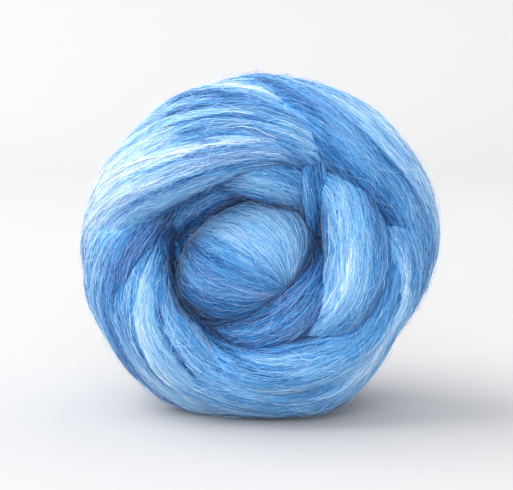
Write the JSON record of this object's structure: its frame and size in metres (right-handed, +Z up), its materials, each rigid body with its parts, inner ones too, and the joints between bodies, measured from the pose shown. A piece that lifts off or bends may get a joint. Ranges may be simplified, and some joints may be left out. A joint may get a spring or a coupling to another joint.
{
  "type": "wool roving nest",
  "caption": "Thick soft length of combed blue wool wound into a rounded ball, its strands spiralling round a small tucked-in heart at the front",
  "frame": {"origin": "on the surface that the ball stands on, under the middle of its box in X and Y", "axes": "+Z is up; the spiral's open face with the heart looks along -Y; +X is to the right as seen from that face"},
  "size_m": [0.1256, 0.0978, 0.1192],
  "materials": {
    "wool": "soft matt combed wool fibres, a melange of light, mid and dark blue with a few white and grey-violet streaks"
  },
  "bodies": {
    "root": {"wool_roving": "wool"}
  },
  "joints": []
}
